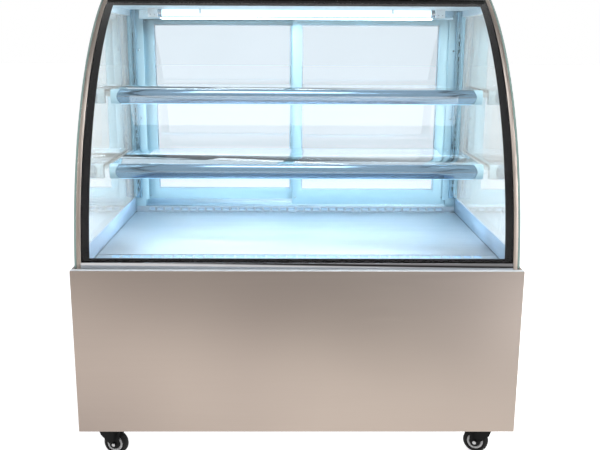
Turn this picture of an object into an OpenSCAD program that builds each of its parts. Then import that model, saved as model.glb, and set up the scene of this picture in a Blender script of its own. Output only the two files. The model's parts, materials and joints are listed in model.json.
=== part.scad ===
// Refrigerated display showcase with a curved glass front, two glass shelves,
// sliding rear doors and a wheeled base that holds the cooling unit.
// The front faces -Y, +Z is up, and the origin lies on the floor under the middle.

/* [Overall] */
// Width of the base cladding
width = 1200; // [1100:10:1300]
// Depth from the front cladding to the rear cladding
depth = 810; // [790:5:850]
// Height of the base from the floor to the deck
base_top = 550; // [530:5:600]
// Height of the glass body from the deck to the top of the roof
body_h = 740; // [735:5:750]

/* [Glass] */
// Outer radius of the curved front glass
glass_r = 896; // [880:2:910]
// Thickness of the front glass
front_t = 8; // [6:1:8]
// Thickness of each side pane
pane_t = 6; // [5:1:6]
// Gap between the two panes of a side
pane_gap = 11; // [10:1:12]

/* [Shelves] */
// Width of the glass shelves
shelf_w = 1120; // [1000:10:1120]
// Thickness of the shelf glass
shelf_t = 8; // [6:1:10]
// Top of the lower shelf above the deck
lower_shelf_z = 228; // [210:2:240]
// Top of the upper shelf above the deck
upper_shelf_z = 446; // [430:2:460]
// Height of the light rail along a shelf's front edge
rail_h = 41; // [34:1:42]

/* [Doors] */
// Thickness of a sliding door
door_t = 19; // [18:1:19]

/* [Casters] */
// Height of a caster from the floor to its plate
caster_h = 90; // [88:1:94]
// Radius of a caster wheel
wheel_r = 35; // [34:0.5:35.5]
// Width of a caster wheel
wheel_w = 24; // [20:1:24]
// Distance from the swivel axis to the axle
trail = 21; // [20:1:22]
// Turn of each caster at rest: front left, front right, rear left, rear right
caster_turn = [-12, 157, 28, 155];

/* [Hidden] */
$fn = 64;
eps = 0.02;
sheet = 1.5;
half_w = width / 2;
front = -depth / 2;
back = depth / 2;
top = base_top + body_h;

// Curved glass: a circle whose centre lies behind and a little below the deck
arc_drop = 79;
arc_z = base_top - arc_drop;
arc_y = front + 21 + sqrt(glass_r * glass_r - arc_drop * arc_drop);
glass_top = top - 7;

// Side glass: outer pane, gap and inner pane, counted in from the base cladding
pane_out = half_w - 8.5;
gap_out = pane_out - pane_t;
gap_in = gap_out - pane_gap;
pane_in = gap_in - pane_t + 1;
front_glass_w = 2 * gap_in;

// Rear door frame
frame_y = back - 49;
jamb_in = 518;
jamb_body = 530;
ceiling_z = base_top + 691;
sill_lip_z = base_top + 27;
sill_rib_z = base_top + 42;
sill_floor_z = base_top + 13;
head_z = base_top + 662;

// Doors, counted from the frame's front flange
door_z0 = sill_floor_z + 0.3;
door_z1 = head_z + 18;
rib_y = frame_y + 24.5;
rib_t = 2;
inner_door_y = frame_y + 4.2;
outer_door_y = rib_y + rib_t + 1;
door_x0 = -13;
door_x1 = jamb_body - 2;
meet_stile = 30;
outer_stile = 41;
bottom_rail = 63;
top_rail = 34;

// Shelves
shelf_back = frame_y - 18;
upper_front = 3;
lower_front = -59;
rail_d = 24;
lens_d = 9;

// Cold well under the deck
tub_x = half_w - 32;
tub_front = front + 53;
tub_back = back - 57;
tub_z0 = base_top - 110;
tub_wall = 25;
deck_t = 2;
slot_y0 = front + 131;
slot_y1 = front + 164;

// Casters
caster_x = 530;
caster_y = back - 52;
plate_t = 3;
race_h = 4;
crown_h = 5;
leg_t = 2.5;
leg_y = wheel_w / 2 + 2;
leg_end_r = 13.5;
axle_r = 4;
pin_r = 6;
run_gap = 0.05;

// Control panel on the rear
panel_x0 = 180;
panel_x1 = 460;
panel_z0 = base_top - 112;
panel_z1 = base_top - 40;
panel_y = back - 12;
control_z = (panel_z0 + panel_z1) / 2;
thermostat_x = 238;
button_x = [250, 259, 268];
button_r = 3;
button_stroke = 0.8;
switch_x = [320, 352];
rocker_w = 13;
rocker_l = 24;
inlet_x = 415;

// Machine space
compressor_x = -330;
compressor_y = 130;
condenser_x = 60;
condenser_w = 300;
condenser_h = 220;
condenser_y0 = 150;
condenser_y1 = 230;
fan_r = 95;
cool_fan_x = [-260, 260];
cool_fan_r = 42;

// ---------- helpers ----------

// A block between two corners
module block(a, b) {
    translate(a) cube([b[0] - a[0], b[1] - a[1], b[2] - a[2]]);
}

// The children and their mirror image on the other side
module both_sides() {
    children();
    mirror([1, 0, 0]) children();
}

// A Y-Z outline extruded along X
module along_x(x0, x1) {
    translate([x0, 0, 0]) rotate([90, 0, 90]) linear_extrude(x1 - x0) children();
}

// A cylinder along Y
module rod_y(r, y0, y1) {
    translate([0, y0, 0]) rotate([-90, 0, 0]) cylinder(r = r, h = y1 - y0);
}

// A cylinder along X
module rod_x(r, x0, x1) {
    translate([x0, 0, 0]) rotate([0, 90, 0]) cylinder(r = r, h = x1 - x0);
}

// The disc that a radius of the glass arc encloses
module arc_disc(r) {
    translate([arc_y, arc_z]) circle(r, $fn = 180);
}

// A Y-Z rectangle
module yz(y0, y1, z0, z1) {
    translate([y0, z0]) square([y1 - y0, z1 - z0]);
}

// A Y-Z outline behind the glass arc
module behind_arc(r, y1, z0, z1) {
    intersection() {
        arc_disc(r);
        yz(front, y1, z0, z1);
    }
}

// ---------- base ----------

module floor_pan() {
    color("silver") difference() {
        block([-half_w + 3, front + 22, caster_h], [half_w - 3, back - 3, caster_h + 20]);
        block([-half_w + 5, front + 24, caster_h + 2], [half_w - 5, back - 5, caster_h + 21]);
        at_caster_bolts() translate([0, 0, caster_h - 1]) cylinder(r = bolt_r + 0.25, h = 4);
    }
}

post = 25;
post_x = half_w - 6;
post_y = [front + 25, back - 6 - post];

// A square tube with open ends, running along Z
module tube_z(x, y) {
    difference() {
        block([x, y, caster_h + 2], [x + post, y + post, base_top - 2]);
        block([x + sheet, y + sheet, caster_h], [x + post - sheet, y + post - sheet, base_top]);
    }
}

// The welded frame: four corner posts joined by rails round the top
module base_frame() {
    rail_z = base_top - 2 - post;
    color("dimgray") union() {
        both_sides() {
            for (y = post_y) tube_z(post_x - post, y);
            block([post_x - post, post_y[0] + post - eps, rail_z],
                  [post_x - post + 2 * sheet, post_y[1] + eps, base_top - 2]);
        }
        for (y = post_y)
            block([-post_x + post - eps, y, rail_z], [post_x - post + eps, y + 2 * sheet, base_top - 2]);
    }
}

module front_panel() {
    color("rosybrown") difference() {
        block([-half_w, front, caster_h], [half_w, front + 20, base_top]);
        block([-half_w + sheet, front + sheet, caster_h + sheet],
              [half_w - sheet, front + 21, base_top - sheet]);
    }
}

module side_panels() {
    color("rosybrown") both_sides() {
        block([half_w - sheet, front + 20.5, caster_h], [half_w, back - sheet - 0.5, base_top]);
        block([pane_in - 3, front + 20.5, base_top - sheet],
              [half_w - sheet + eps, back - sheet - 0.5, base_top]);
    }
}

louvre_rows = 12;
louvre_pitch = 20;

module louvre_bank(x0, x1) {
    for (i = [0 : louvre_rows - 1])
        block([x0, back - sheet - 1, caster_h + 40 + i * louvre_pitch],
              [x1, back + 1, caster_h + 48 + i * louvre_pitch]);
}

module rear_vent_panel() {
    color("silver") difference() {
        block([-half_w, back - sheet, caster_h], [half_w, back, base_top - sheet]);
        louvre_bank(-480, -130);
        louvre_bank(-90, 260);
        block([panel_x0, back - sheet - 1, panel_z0], [panel_x1, back + 1, panel_z1]);
    }
}

// ---------- controls ----------

module control_panel() {
    color("gainsboro") difference() {
        block([panel_x0, panel_y, panel_z0], [panel_x1, back - sheet, panel_z1]);
        block([panel_x0 + 2, panel_y + 2, panel_z0 + 2], [panel_x1 - 2, back, panel_z1 - 2]);
        block([thermostat_x - 36, panel_y - 1, control_z - 14.5],
              [thermostat_x + 36, panel_y + 3, control_z + 14.5]);
        for (x = switch_x)
            block([x - 9, panel_y - 1, control_z - 14], [x + 9, panel_y + 3, control_z + 14]);
        block([inlet_x - 14, panel_y - 1, control_z - 10], [inlet_x + 14, panel_y + 3, control_z + 10]);
    }
}

module thermostat() {
    color("black") difference() {
        union() {
            block([thermostat_x - 38, panel_y + 2, control_z - 17],
                  [thermostat_x + 38, panel_y + 8, control_z + 17]);
            block([thermostat_x - 35.5, panel_y - 40, control_z - 14],
                  [thermostat_x + 35.5, panel_y + 2 + eps, control_z + 14]);
        }
        for (x = button_x)
            translate([x, 0, control_z - 4]) rod_y(button_r + 0.1, panel_y + 4, panel_y + 9);
        block([thermostat_x - 33, panel_y + 7, control_z - 9],
              [thermostat_x + 5, panel_y + 9, control_z + 10]);
    }
}

module button(x) {
    color("lightgray") translate([x, 0, control_z - 4])
        rod_y(button_r, panel_y + 4 + button_stroke + 0.2, panel_y + 9.6);
}

module switch_housings() {
    color("black") for (x = switch_x)
        translate([x, 0, control_z]) difference() {
            union() {
                block([-10.5, panel_y + 2, -15.5], [10.5, panel_y + 4, 15.5]);
                block([-8.8, panel_y - 20, -13.8], [8.8, panel_y + 2 + eps, 13.8]);
            }
            block([-rocker_w / 2 - 0.5, panel_y - 8, -rocker_l / 2 - 0.8],
                  [rocker_w / 2 + 0.5, panel_y + 5, rocker_l / 2 + 0.8]);
            translate([0, rocker_y, 0]) rod_x(rocker_pin_r + run_gap, -10, 10);
        }
}

rocker_rest = 9;
rocker_y = panel_y - 1;
rocker_pin_r = 1.5;

// A rocker: a shallow V across the top of a round pivot boss, lying on one side at rest
module rocker(x, tint) {
    color(tint) translate([x, rocker_y, control_z]) rotate([rocker_rest, 0, 0]) {
        along_x(-rocker_w / 2, rocker_w / 2)
            polygon([[0, -11.2], [6.4, -11.8], [4.2, 0], [6.4, 11.8], [0, 11.2]]);
        rod_x(4.2, -rocker_w / 2, rocker_w / 2);
        rod_x(rocker_pin_r, -rocker_w / 2 - 1.8, rocker_w / 2 + 1.8);
    }
}

module power_inlet() {
    color("black") translate([inlet_x, 0, control_z]) {
        difference() {
            union() {
                block([-20, panel_y + 2, -12.5], [20, panel_y + 4.5, 12.5]);
                block([-13.8, panel_y - 24, -9.8], [13.8, panel_y + 2 + eps, 9.8]);
            }
            block([-12, panel_y - 13, -8], [12, panel_y + 5, 8]);
        }
        for (p = [[-7, -2], [0, 2], [7, -2]])
            block([p[0] - 1, panel_y - 14, p[1] - 2], [p[0] + 1, panel_y - 4, p[1] + 2]);
    }
}

// ---------- cooling unit ----------

stub_y = compressor_y - 96;

// A sealed pot on a foot plate with rubber feet, a terminal box and two pipe sockets
module compressor() {
    color("black") translate([compressor_x, compressor_y, caster_h + 2]) {
        rotate_extrude() polygon([
            [0, 16], [56, 16], [68, 32], [72, 58], [72, 62], [76, 62], [76, 68], [72, 68],
            [72, 72], [68, 122], [50, 144], [0, 150]
        ]);
        block([-88, -56, 10], [88, 56, 17]);
        for (x = [-72, 72], y = [-44, 44]) translate([x, y, 0]) cylinder(r = 13, h = 10 + eps);
        block([66, -24, 36], [98, 24, 96]);
    }
    color("black") for (p = pipe_sockets) difference() {
        translate([p[0], 0, p[1]]) rod_y(6, stub_y, compressor_y - 50);
        translate([p[0], 0, p[1]]) rod_y(pipe_r + 0.1, stub_y - 1, stub_y + 12);
    }
}

pipe_r = 4;
pipe_sockets = [[compressor_x + 28, caster_h + 112], [compressor_x - 28, caster_h + 112]];
coil_rows = 6;
coil_pitch = 34;
coil_z0 = caster_h + 36;

// Two columns of tubes through a stack of fins
module condenser_coil() {
    fin_pitch = 12;
    z0 = caster_h + 12;
    color("darkslategray") {
        for (x = [0 : fin_pitch : condenser_w])
            block([condenser_x + x, condenser_y0, z0],
                  [condenser_x + x + 1.5, condenser_y1, z0 + condenser_h]);
        for (y = [condenser_y0 + 22, condenser_y1 - 22]) {
            for (i = [0 : coil_rows - 1])
                translate([0, y, coil_z0 + i * coil_pitch])
                    rod_x(5, condenser_x - 14, condenser_x + condenser_w + 14);
        }
    }
}

fan_x = condenser_x + condenser_w / 2;
fan_z = caster_h + 12 + condenser_h / 2;
shroud_y = condenser_y1 + 1;

module condenser_shroud() {
    z0 = caster_h + 12;
    color("dimgray") difference() {
        block([condenser_x, shroud_y, z0],
              [condenser_x + condenser_w + 1.5, shroud_y + 40, z0 + condenser_h]);
        block([condenser_x + 2, shroud_y - 1, z0 + 2],
              [condenser_x + condenser_w - 0.5, shroud_y + 38, z0 + condenser_h - 2]);
        translate([fan_x, 0, fan_z]) rod_y(fan_r + 4, shroud_y + 30, shroud_y + 50);
    }
}

shaft_r = 3;

// An axial fan along Z: a hub on its shaft, with pitched blades
module fan(r, hub_r, h, blades, shaft) {
    cylinder(r = hub_r, h = h);
    translate([0, 0, h - eps]) cylinder(r = shaft_r, h = shaft);
    for (i = [0 : blades - 1]) rotate([0, 0, i * 360 / blades])
        translate([hub_r - 2, 0, h / 2]) rotate([28, 0, 0])
            translate([0, -r * 0.26, -0.9]) cube([r - hub_r, r * 0.52, 1.8]);
}

fan_h = 20;
fan_y = shroud_y + 22;
fan_motor_y = fan_y + fan_h + 5;

module condenser_fan() {
    color("white") translate([fan_x, fan_y, fan_z]) rotate([-90, 0, 0]) fan(fan_r, 24, fan_h, 5, 22);
}

cool_fan_y = 90;
cool_fan_z = tub_z0 + tub_wall + 38;
cool_fan_h = 14;
cool_motor_y = cool_fan_y + cool_fan_h + 3;

// A round motor on a strut, with a blind bore that its fan's shaft runs in
module fan_motor(r, y, length, foot) {
    difference() {
        rod_y(r, y, y + length);
        rod_y(shaft_r + run_gap, y - 1, y + 22);
    }
    block([-6, y + length * 0.35, foot], [6, y + length * 0.65, -r * 0.8]);
}

module fan_motors() {
    color("gray") {
        translate([fan_x, 0, fan_z]) fan_motor(34, fan_motor_y, 44, caster_h + 2 - fan_z);
        for (x = cool_fan_x)
            translate([x, 0, cool_fan_z]) fan_motor(16, cool_motor_y, 30, tub_z0 + tub_wall - cool_fan_z);
    }
}

module cooling_fan(x) {
    color("white") translate([x, cool_fan_y, cool_fan_z]) rotate([-90, 0, 0])
        fan(cool_fan_r - 10, 11, cool_fan_h, 5, 16);
}

tray_x = 180;

module drip_tray() {
    color("white") difference() {
        block([-tray_x, -220, caster_h + 3], [tray_x, 60, caster_h + 45]);
        block([-tray_x + 2, -218, caster_h + 5], [tray_x - 2, 58, caster_h + 46]);
    }
}

// Copper line through a list of points, with round elbows between square ends
module copper(points) {
    last = len(points) - 1;
    for (i = [0 : last - 1]) {
        d = points[i + 1] - points[i];
        l = norm(d);
        translate(points[i]) rotate([0, acos(d[2] / l), atan2(d[1], d[0])]) cylinder(r = pipe_r, h = l);
    }
    for (i = [1 : last - 1]) translate(points[i]) sphere(r = pipe_r);
}

coil_row_z = tub_z0 + tub_wall + 20;
pipe_drop = [[475, -130], [490, -30]];
condenser_end = condenser_x + condenser_w + 14.2;

// Discharge line, liquid line with its drier, and suction line
module refrigerant_pipes() {
    hot_x = -120;
    hot_y = 172;
    hot_z = coil_z0 + 3 * coil_pitch;
    drier_x = 402;
    cold_z = 330;
    coil_end = 454.5;
    color("peru") {
        copper([
            [pipe_sockets[0][0], stub_y + 10, pipe_sockets[0][1]],
            [pipe_sockets[0][0], 6, pipe_sockets[0][1]],
            [hot_x, 6, pipe_sockets[0][1]], [hot_x, hot_y, pipe_sockets[0][1]],
            [hot_x, hot_y, hot_z - 17], [-14, hot_y, hot_z - 17], [-14, hot_y, hot_z + 2 * coil_pitch],
            [condenser_x - 14.2, hot_y, hot_z + 2 * coil_pitch]
        ]);
        copper([
            [condenser_end, condenser_y1 - 22, coil_z0], [drier_x, condenser_y1 - 22, coil_z0],
            [drier_x, pipe_drop[0][1], coil_z0], [pipe_drop[0][0], pipe_drop[0][1], coil_z0],
            [pipe_drop[0][0], pipe_drop[0][1], coil_row_z],
            [coil_end, pipe_drop[0][1], coil_row_z]
        ]);
        translate([drier_x, 0, coil_z0]) rod_y(11, -20, 60);
        copper([
            [coil_end, pipe_drop[1][1], coil_row_z], [pipe_drop[1][0], pipe_drop[1][1], coil_row_z],
            [pipe_drop[1][0], pipe_drop[1][1], cold_z],
            [pipe_sockets[1][0], pipe_drop[1][1], cold_z],
            [pipe_sockets[1][0], pipe_drop[1][1], pipe_sockets[1][1]],
            [pipe_sockets[1][0], stub_y + 10, pipe_sockets[1][1]]
        ]);
    }
}

module deck_tub() {
    color("whitesmoke") difference() {
        block([-tub_x, tub_front, tub_z0], [tub_x, tub_back, base_top - 2]);
        block([-tub_x + tub_wall, tub_front + tub_wall, tub_z0 + tub_wall],
              [tub_x - tub_wall, tub_back - tub_wall, base_top + 1]);
        for (p = pipe_drop) translate([p[0], p[1], tub_z0 - 1]) cylinder(r = pipe_r + 0.5, h = tub_wall + 2);
    }
}

module evaporator_coil() {
    fin_pitch = 40;
    y0 = -160;
    color("gainsboro") {
        for (x = [-440 : fin_pitch : 440])
            block([x, y0, tub_z0 + tub_wall + 4], [x + 1.5, y0 + 160, tub_z0 + tub_wall + 62]);
        for (y = [y0 + 30, y0 + 80, y0 + 130], z = [0, 26])
            translate([0, y, coil_row_z + z]) rod_x(5, -452, 454);
    }
}

// ---------- deck ----------

module deck_plate() {
    color("azure")
        block([-pane_in + 9, slot_y1, base_top - 2 + eps], [pane_in - 9, tub_back - 12, base_top + deck_t]);
}

grille_slots = 36;
grille_pitch = 29;

module air_grilles() {
    color("lightsteelblue") {
        difference() {
            block([-pane_in + 9, front + 40, base_top - 2 + eps],
                  [pane_in - 9, slot_y1 - 1, base_top + deck_t - 1]);
            for (i = [0 : grille_slots - 1])
                translate([(i - (grille_slots - 1) / 2) * grille_pitch, 0, 0])
                    block([-11, slot_y0 + 4, base_top - 3], [11, slot_y1 - 6, base_top + 3]);
        }
        difference() {
            block([-pane_in + 9, tub_back - 4, base_top - 2 + eps], [pane_in - 9, tub_back, base_top + 21]);
            for (i = [0 : grille_slots - 1])
                translate([(i - (grille_slots - 1) / 2) * grille_pitch, 0, 0])
                    block([-11, tub_back - 5, base_top + 6], [11, tub_back + 1, base_top + 16]);
        }
    }
}

module side_ledges() {
    color("aliceblue") both_sides() along_x(pane_in - 3.5, pane_in - 0.1)
        intersection() {
            arc_disc(glass_r - front_t - 1);
            yz(front, frame_y - 0.2, base_top + 0.2, base_top + 50);
        }
}

// ---------- glass ----------

channel_z = base_top + 18;

module front_glass() {
    color("lightcyan", 0.4) along_x(-front_glass_w / 2 + 0.3, front_glass_w / 2 - 0.3)
        difference() {
            behind_arc(glass_r, arc_y, base_top + 4, glass_top);
            arc_disc(glass_r - front_t);
        }
}

module side_glass() {
    color("lightcyan", 0.4) both_sides() {
        along_x(gap_out, pane_out)
            behind_arc(glass_r, frame_y - 0.2, base_top + 0.1, top - 3);
        along_x(pane_in, gap_in - 0.1)
            behind_arc(glass_r - front_t - 0.5, frame_y - 0.2, base_top + 0.1, top - 3);
    }
}

spacer_w = 9;
spacer_r = glass_r - 12;

module glass_spacers() {
    color("gray") both_sides() along_x(gap_in, gap_out - 0.1) difference() {
        behind_arc(spacer_r, frame_y - 2, base_top + 2, top - 5);
        behind_arc(spacer_r - spacer_w, frame_y - 2 - spacer_w, base_top + 2 + spacer_w, top - 5 - spacer_w);
    }
}

module edge_trims() {
    color("silver") both_sides() along_x(gap_in, gap_out - 0.1) difference() {
        behind_arc(glass_r, arc_y, base_top + 0.1, top - 3);
        arc_disc(glass_r - 11);
    }
}

// Polished strips that grip the glass along its foot and along its top edge; the foot strip's
// inner jaw stops short of the side ledges
module glass_channels() {
    jaw_half = pane_in - 3.7;
    jaw_y = front + 29;
    color("gainsboro") {
        difference() {
            along_x(-front_glass_w / 2 + 0.3, front_glass_w / 2 - 0.3) difference() {
                yz(front + 18, front + 38, base_top + 0.1, channel_z);
                difference() {
                    arc_disc(glass_r + 0.3);
                    arc_disc(glass_r - front_t - 0.3);
                    yz(front, back, base_top - 10, base_top + 3.8);
                }
            }
            both_sides() block([jaw_half, jaw_y, base_top - 1], [half_w, front + 40, channel_z + 1]);
        }
        along_x(-front_glass_w / 2 + 0.3, front_glass_w / 2 - 0.3) difference() {
            intersection() {
                arc_disc(glass_r + 3);
                yz(front, arc_y, glass_top - 18, top - 2.2);
            }
            arc_disc(glass_r + 0.3);
            yz(arc_y - 360, back, base_top, top);
        }
    }
}

// ---------- roof ----------

module roof() {
    color("silver") {
        difference() {
            along_x(-pane_in + 0.5, pane_in - 0.5)
                behind_arc(glass_r - front_t - 1, frame_y - 0.3, ceiling_z + 2, top - 2 + eps);
            along_x(-pane_in + 2, pane_in - 2)
                behind_arc(glass_r - front_t - 4, frame_y, ceiling_z + 3.5, top - 4);
        }
        block([-pane_out - 2, arc_y - 358, top - 2 - eps], [pane_out + 2, back, top]);
        both_sides() block([pane_out + 0.2, arc_y - 358, top - 22], [pane_out + 2, back, top - 2]);
    }
}

module ceiling_liner() {
    color("aliceblue") {
        along_x(-pane_in + 0.5, pane_in - 0.5)
            behind_arc(glass_r - front_t - 1, frame_y - 0.3, ceiling_z, ceiling_z + 1.8);
        both_sides() along_x(pane_in - 12, pane_in - 0.5)
            behind_arc(glass_r - front_t - 1, frame_y - 12.5, ceiling_z - 20, ceiling_z + eps);
    }
}

tube_y = 253;
tube_z = ceiling_z - 14;
tube_r = 11;
tube_half = 450;

module led_tube() {
    color("white") translate([0, tube_y, tube_z]) {
        rod_x(tube_r, -tube_half, tube_half);
        both_sides() for (z = [-4, 4]) translate([0, 0, z]) rod_x(1.2, tube_half - 1, tube_half + 8);
    }
}

module led_holders() {
    color("whitesmoke") {
        both_sides() difference() {
            block([tube_half + 0.5, tube_y - 13, tube_z - 13],
                  [tube_half + 30, tube_y + 13, ceiling_z - 0.1]);
            for (z = [-4, 4]) translate([0, tube_y, tube_z + z]) rod_x(1.4, tube_half, tube_half + 9);
        }
        both_sides() difference() {
            block([308, tube_y - 13, tube_z - 2], [314, tube_y + 13, ceiling_z - 0.1]);
            translate([0, tube_y, tube_z]) rod_x(tube_r + 0.2, 300, 320);
        }
    }
}

// ---------- rear frame ----------

module rear_jambs() {
    color("gainsboro") both_sides() {
        difference() {
            block([jamb_body, frame_y, base_top + 0.1], [pane_out, back, top - 3]);
            block([jamb_body + sheet, frame_y + sheet, base_top + 2], [pane_out - sheet, back - sheet, top]);
        }
        block([jamb_in, frame_y, sill_rib_z + 0.5], [jamb_body + eps, frame_y + 3.5, head_z - 0.5]);
    }
}

// The two grooves that the doors run in, between two heights
module grooves(z0, z1) {
    yz(frame_y + 3, rib_y, z0, z1);
    yz(rib_y + rib_t, back - 1.5, z0, z1);
}

// The sill and the head of the door frame
module door_tracks() {
    track_x = jamb_body - 0.3;
    groove_top = door_z1 + 1;
    color("gainsboro") {
        along_x(-track_x, track_x) difference() {
            yz(frame_y, back, base_top + 0.1, sill_rib_z);
            grooves(sill_floor_z, sill_rib_z + 1);
            yz(frame_y - 1, frame_y + 4, sill_lip_z, sill_rib_z + 1);
        }
        along_x(-track_x, track_x) difference() {
            yz(frame_y, back, head_z, top - 2.2);
            grooves(head_z - 1, groove_top);
            yz(frame_y + sheet, back - sheet, groove_top + 2, top);
        }
    }
}

pilaster_x0 = 541;
pilaster_pitch = 25;
pilaster_slots = 22;

module shelf_pilasters() {
    color("silver") both_sides() difference() {
        block([pilaster_x0, frame_y - 12, base_top + 52], [pane_in - 0.5, frame_y - 0.2, ceiling_z - 1]);
        block([pilaster_x0 + 2, frame_y - 10, base_top + 51], [pane_in - 3, frame_y, ceiling_z]);
        for (i = [0 : pilaster_slots - 1])
            block([pilaster_x0 + 9, frame_y - 13, base_top + 76 + i * pilaster_pitch],
                  [pilaster_x0 + 13, frame_y - 9, base_top + 90 + i * pilaster_pitch]);
    }
}

// ---------- shelves ----------

module shelf_bracket(y0, z) {
    along_x(pilaster_x0 + 9.5, pilaster_x0 + 12.5) polygon([
        [shelf_back + 5.9, z], [y0 + rail_d + 2, z], [y0 + rail_d + 2, z - 12],
        [shelf_back - 60, z - 34], [shelf_back + 5.9, z - 34]
    ]);
}

module shelf_brackets() {
    color("silver") both_sides() {
        shelf_bracket(upper_front, base_top + upper_shelf_z - shelf_t - 0.2);
        shelf_bracket(lower_front, base_top + lower_shelf_z - shelf_t - 0.2);
    }
}

module shelf_glass(y0, z) {
    block([-shelf_w / 2, y0 + lens_d + 1, z - shelf_t], [shelf_w / 2, shelf_back, z]);
}

module shelf_glasses() {
    color("lightcyan", 0.4) {
        shelf_glass(upper_front, base_top + upper_shelf_z);
        shelf_glass(lower_front, base_top + lower_shelf_z);
    }
}

// An aluminium channel whose top jaw holds the glass edge and whose front holds the lens
module light_rail(y0, z) {
    along_x(-shelf_w / 2, shelf_w / 2) difference() {
        yz(y0 + lens_d, y0 + rail_d, z - rail_h, z + 1);
        yz(y0 + lens_d + 0.8, y0 + rail_d + 1, z - shelf_t - 0.1, z + 0.1);
        yz(y0 + lens_d + 2, y0 + rail_d - 2, z - rail_h + 2, z - shelf_t - 2);
    }
}

module shelf_light_rails() {
    color("silver") {
        light_rail(upper_front, base_top + upper_shelf_z);
        light_rail(lower_front, base_top + lower_shelf_z);
    }
}

// The clear bullnose cover in front of the rail
module light_lens(y0, z) {
    bulge_r = (rail_h * rail_h / 4 + lens_d * lens_d) / (2 * lens_d);
    along_x(-shelf_w / 2, shelf_w / 2) intersection() {
        translate([y0 + bulge_r, z - rail_h / 2 + 0.5]) circle(bulge_r, $fn = 96);
        yz(y0 - 1, y0 + lens_d - 0.1, z - rail_h + 0.5, z + 0.5);
    }
}

module shelf_light_lenses() {
    color("white", 0.6) {
        light_lens(upper_front, base_top + upper_shelf_z);
        light_lens(lower_front, base_top + lower_shelf_z);
    }
}

// ---------- sliding doors ----------

// One door in its own track; side is 1 for the right door and -1 for the left one
module door_frame(side, y0) {
    color("gainsboro") mirror([side < 0 ? 1 : 0, 0, 0]) difference() {
        block([door_x0, y0, door_z0], [door_x1, y0 + door_t, door_z1]);
        block([door_x0 + meet_stile, y0 - 1, door_z0 + bottom_rail],
              [door_x1 - outer_stile, y0 + door_t + 1, door_z1 - top_rail]);
        block([door_x0 + meet_stile - 8, y0 + 3, door_z0 + bottom_rail - 8],
              [door_x1 - outer_stile + 8, y0 + door_t - 3, door_z1 - top_rail + 8]);
        block([door_x1 - 34, y0 + door_t - 8, door_z0 + 300], [door_x1 - 14, y0 + door_t + 1, door_z0 + 420]);
    }
}

module door_glass(side, y0) {
    color("lightcyan", 0.4) mirror([side < 0 ? 1 : 0, 0, 0])
        for (y = [y0 + 3.2, y0 + door_t - 7.2])
            block([door_x0 + meet_stile - 7.6, y, door_z0 + bottom_rail - 7.6],
                  [door_x1 - outer_stile + 7.6, y + 4, door_z1 - top_rail + 7.6]);
}

// ---------- casters ----------

caster_place = [[-1, -1], [1, -1], [-1, 1], [1, 1]];

module at_caster(i) {
    translate([caster_place[i][0] * caster_x, caster_place[i][1] * caster_y, 0])
        rotate([0, 0, caster_turn[i]]) children();
}

bolt_r = 3;
bolt_at = 22;

// The four bolts of each caster's plate
module at_caster_bolts() {
    for (p = caster_place, x = [-bolt_at, bolt_at], y = [-bolt_at, bolt_at])
        translate([p[0] * caster_x + x, p[1] * caster_y + y, 0]) children();
}

race_z = caster_h - plate_t - race_h;
crown_top = race_z - 0.4;
keeper_z = crown_top - crown_h - 3.4;

module caster_plates() {
    color("dimgray") for (p = caster_place)
        translate([p[0] * caster_x, p[1] * caster_y, 0]) {
            difference() {
                block([-32, -32, caster_h - plate_t], [32, 32, caster_h - eps]);
                for (x = [-bolt_at, bolt_at], y = [-bolt_at, bolt_at])
                    translate([x, y, caster_h - plate_t - 1]) cylinder(r = bolt_r + 0.25, h = plate_t + 2);
            }
            translate([0, 0, race_z]) cylinder(r = 21, h = race_h + eps);
            translate([0, 0, keeper_z]) cylinder(r = pin_r, h = race_z - keeper_z + eps);
            translate([0, 0, keeper_z]) cylinder(r = 9, h = 3);
        }
}

// A crown that turns on the plate's pin, and two legs that carry the axle
module caster_fork(i) {
    color("black") at_caster(i) {
        difference() {
            union() {
                translate([0, 0, crown_top - crown_h]) cylinder(r = 24, h = crown_h);
                for (s = [-1, 1]) translate([0, s * (leg_y + leg_t / 2) + leg_t / 2, 0]) rotate([90, 0, 0])
                    linear_extrude(leg_t) fork_leg();
            }
            translate([0, 0, crown_top - crown_h - 1]) cylinder(r = pin_r + run_gap, h = crown_h + 2);
            translate([brake_x, 0, brake_z]) rod_y(brake_pin_r + run_gap, -30, 30);
        }
        translate([trail, 0, wheel_r]) {
            rod_y(axle_r, -leg_y - leg_t - 4, leg_y + leg_t + 4);
            for (y = [-leg_y - leg_t - 4, leg_y + leg_t - eps]) rod_y(6.5, y, y + 4);
        }
    }
}

// Side outline of a fork leg, wide at the crown and round about the axle
module fork_leg() {
    polygon([
        [-26, crown_top], [brake_x + 9, crown_top], [brake_x + 9, brake_z - 6],
        [trail + leg_end_r, wheel_r], [trail - leg_end_r, wheel_r], [-18, 60]
    ]);
    translate([trail, wheel_r]) circle(leg_end_r);
}

module caster_wheel(i) {
    hub_y = wheel_w / 2 + 1.5;
    face_y = wheel_w / 2 - 3;
    crown_w = 8;
    hub_r = 9;
    web_r = 23;
    color("black") at_caster(i) translate([trail, 0, wheel_r]) rotate([-90, 0, 0])
        rotate_extrude() polygon([
            [axle_r + run_gap, -hub_y], [hub_r, -hub_y], [hub_r, -face_y], [web_r, -face_y],
            [web_r + 2, -wheel_w / 2], [wheel_r - 7, -wheel_w / 2], [wheel_r - 2, -wheel_w / 2 + 4],
            [wheel_r, -crown_w / 2], [wheel_r, crown_w / 2], [wheel_r - 2, wheel_w / 2 - 4],
            [wheel_r - 7, wheel_w / 2], [web_r + 2, wheel_w / 2],
            [web_r, face_y], [hub_r, face_y], [hub_r, hub_y], [axle_r + run_gap, hub_y]
        ]);
}

brake_x = trail + 8;
brake_z = wheel_r + 39;
brake_pin_r = 3;

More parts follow.
